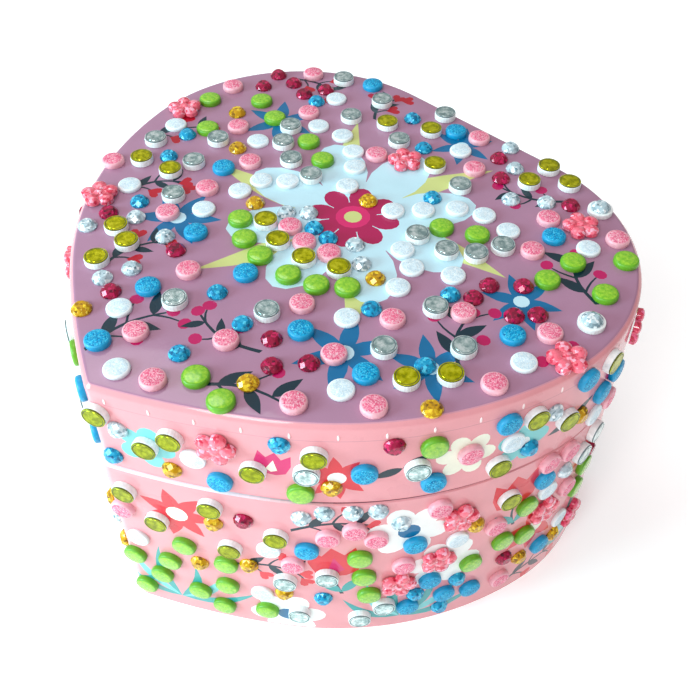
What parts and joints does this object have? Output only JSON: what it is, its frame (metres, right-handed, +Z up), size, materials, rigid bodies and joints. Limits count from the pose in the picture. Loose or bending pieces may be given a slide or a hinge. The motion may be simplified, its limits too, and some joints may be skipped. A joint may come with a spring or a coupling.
{
  "type": "music box",
  "caption": "Heart-shaped keepsake music box of covered board with a lift-off lid, both covered in stick-on gems.",
  "frame": {"origin": "centre of the underside, half way between the heart's lobes and its tip", "axes": "+Z up, -Y towards the tip of the heart, +X across the lobes to the right as seen from the tip"},
  "size_m": [0.1846, 0.1686, 0.1087],
  "materials": {
    "base_paper": "glossy laminated paper, pink, with small stick-on gems",
    "foam_stone": "clear rhinestone on a white foam disc",
    "lid_paper": "glossy laminated paper, mauve pink, with small stick-on gems",
    "lime_mirror": "lime mirror foil on white foam",
    "pink_flower": "translucent pink acrylic",
    "red_flower": "translucent crimson acrylic",
    "silver_mirror": "silver mirror foil on white foam"
  },
  "bodies": {
    "root": {"base": "base_paper", "foam_stone_gem_01": "foam_stone", "foam_stone_gem_02": "foam_stone", "lid": "lid_paper", "lime_mirror_gem_01": "lime_mirror", "lime_mirror_gem_02": "lime_mirror", "lime_mirror_gem_03": "lime_mirror", "lime_mirror_gem_04": "lime_mirror", "lime_mirror_gem_05": "lime_mirror", "lime_mirror_gem_06": "lime_mirror", "lime_mirror_gem_07": "lime_mirror", "lime_mirror_gem_08": "lime_mirror", "lime_mirror_gem_09": "lime_mirror", "lime_mirror_gem_10": "lime_mirror", "lime_mirror_gem_11": "lime_mirror", "lime_mirror_gem_12": "lime_mirror", "lime_mirror_gem_13": "lime_mirror", "lime_mirror_gem_14": "lime_mirror", "lime_mirror_gem_15": "lime_mirror", "lime_mirror_gem_16": "lime_mirror", "lime_mirror_gem_17": "lime_mirror", "pink_flower_gem_01": "pink_flower", "pink_flower_gem_02": "pink_flower", "pink_flower_gem_03": "pink_flower", "pink_flower_gem_04": "pink_flower", "pink_flower_gem_05": "pink_flower", "pink_flower_gem_06": "pink_flower", "pink_flower_gem_07": "pink_flower", "pink_flower_gem_08": "pink_flower", "pink_flower_gem_09": "pink_flower", "pink_flower_gem_10": "pink_flower", "pink_flower_gem_11": "pink_flower", "pink_flower_gem_12": "pink_flower", "red_flower_gem_01": "red_flower", "red_flower_gem_02": "red_flower", "silver_mirror_gem_01": "silver_mirror", "silver_mirror_gem_02": "silver_mirror", "silver_mirror_gem_03": "silver_mirror", "silver_mirror_gem_04": "silver_mirror", "silver_mirror_gem_05": "silver_mirror", "silver_mirror_gem_06": "silver_mirror", "silver_mirror_gem_07": "silver_mirror", "silver_mirror_gem_08": "silver_mirror", "silver_mirror_gem_09": "silver_mirror", "silver_mirror_gem_10": "silver_mirror", "silver_mirror_gem_11": "silver_mirror", "silver_mirror_gem_12": "silver_mirror", "silver_mirror_gem_13": "silver_mirror", "silver_mirror_gem_14": "silver_mirror", "silver_mirror_gem_15": "silver_mirror", "silver_mirror_gem_16": "silver_mirror", "silver_mirror_gem_17": "silver_mirror", "silver_mirror_gem_18": "silver_mirror", "silver_mirror_gem_19": "silver_mirror", "silver_mirror_gem_20": "silver_mirror", "silver_mirror_gem_21": "silver_mirror", "silver_mirror_gem_22": "silver_mirror", "silver_mirror_gem_23": "silver_mirror"}
  },
  "joints": []
}
